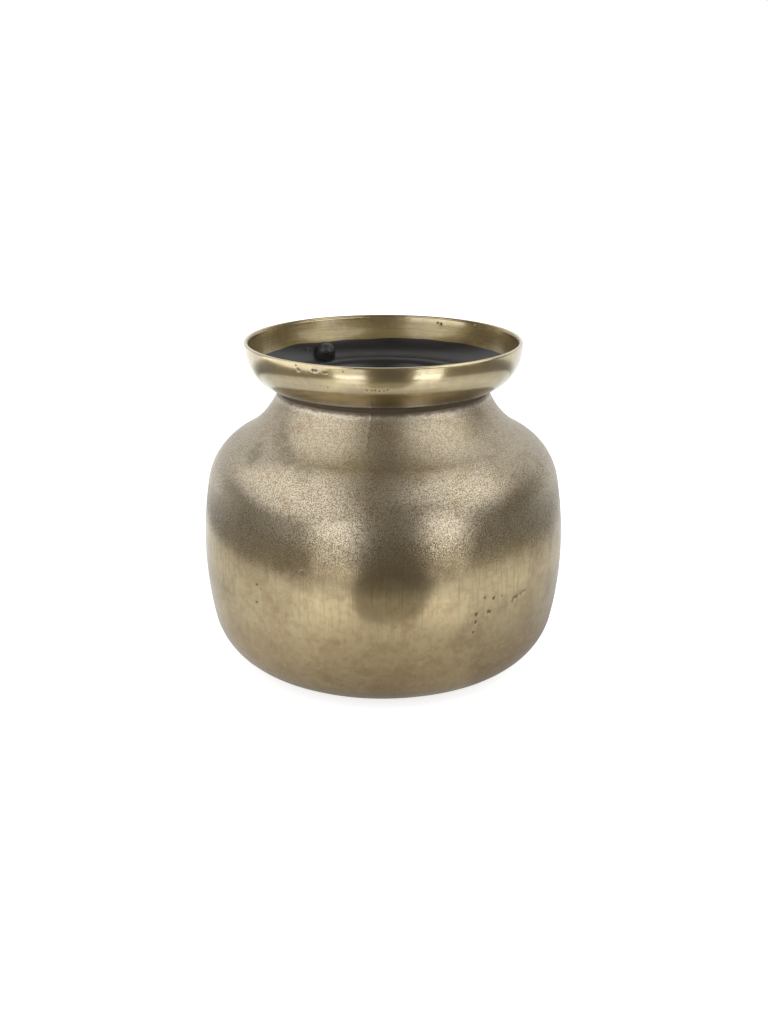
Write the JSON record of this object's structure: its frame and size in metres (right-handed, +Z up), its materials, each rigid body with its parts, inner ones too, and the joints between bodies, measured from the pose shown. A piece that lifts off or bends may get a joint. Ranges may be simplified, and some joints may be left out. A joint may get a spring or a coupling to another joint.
{
  "type": "planter",
  "caption": "Squat round cast aluminium planter in an antique brass finish, with a rough shoulder, a flared smooth collar and a black waterproof coat inside.",
  "frame": {"origin": "centre of the pads' underside, on the floor", "axes": "+Z up along the planter's axis, front towards -Y"},
  "size_m": [0.36, 0.36, 0.33],
  "materials": {
    "buffed_brass": "antique brass plate on buffed aluminium, faint upright brush marks and brown patina",
    "cast_brass": "antique brass plate on rough sand-cast aluminium",
    "turned_brass": "antique brass plate on turned aluminium, satin, with casting pits",
    "weld_brass": "antique brass plate on a rough weld bead",
    "black_coat": "brushed-on black waterproof lacquer, satin",
    "painted_lump": "black waterproof lacquer over metal, satin",
    "felt": "pressed wool felt"
  },
  "bodies": {
    "root": {"lower_bowl": "buffed_brass", "shoulder_shell": "cast_brass", "girth_weld": "buffed_brass", "rim_collar": "turned_brass", "neck_weld": "weld_brass", "waterproof_coat": "black_coat", "casting_lump": "painted_lump", "felt_pads": "felt"}
  },
  "joints": []
}
